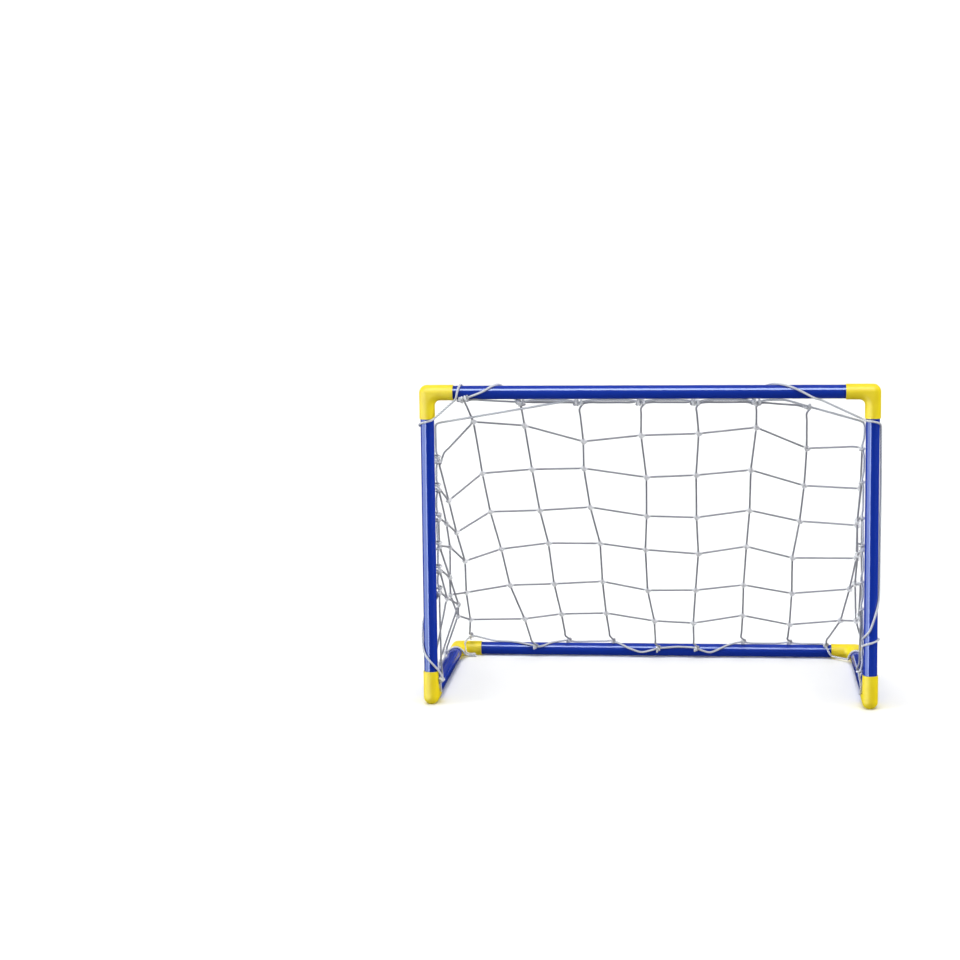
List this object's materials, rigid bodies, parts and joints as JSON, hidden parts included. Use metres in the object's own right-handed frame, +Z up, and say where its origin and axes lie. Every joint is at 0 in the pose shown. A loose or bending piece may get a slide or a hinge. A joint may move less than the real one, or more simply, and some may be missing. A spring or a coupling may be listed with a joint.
{
  "type": "toy football goal",
  "caption": "Small garden football goal of plastic tubes pushed into right-angle elbows, open at the front, with a knotted net laced inside the frame.",
  "frame": {"origin": "middle of the footprint, on the ground", "axes": "+X to the right seen from the pitch, +Y from the mouth to the rear bar, +Z up"},
  "size_m": [0.6, 0.34, 0.428],
  "materials": {
    "tube": "glossy royal blue extruded plastic",
    "elbow": "glossy yellow moulded plastic",
    "net": "white twisted twine, knotted in square meshes",
    "border_cord": "white laid cord"
  },
  "bodies": {
    "feet": {"front_left_elbow": "elbow", "front_right_elbow": "elbow", "net_back": "net", "net_left_side": "net", "net_right_side": "net", "border_cord": "border_cord"},
    "side_tubes": {"left_base_tube": "tube", "right_base_tube": "tube"},
    "rear_frame": {"rear_left_elbow": "elbow", "rear_right_elbow": "elbow", "rear_bar": "tube"},
    "posts": {"left_post": "tube", "right_post": "tube"},
    "top_bar": {"top_left_elbow": "elbow", "top_right_elbow": "elbow", "crossbar": "tube"}
  },
  "joints": [
    {"name": "side_tubes_pull", "type": "slide", "parent": "feet", "child": "side_tubes", "axis": [0, 1, 0], "range_m": [0, 0.026]},
    {"name": "rear_frame_pull", "type": "slide", "parent": "side_tubes", "child": "rear_frame", "axis": [0, 1, 0], "range_m": [0, 0.026]},
    {"name": "posts_lift", "type": "slide", "parent": "feet", "child": "posts", "axis": [0, 0, 1], "range_m": [0, 0.026]},
    {"name": "top_bar_lift", "type": "slide", "parent": "posts", "child": "top_bar", "axis": [0, 0, 1], "range_m": [0, 0.026]}
  ]
}
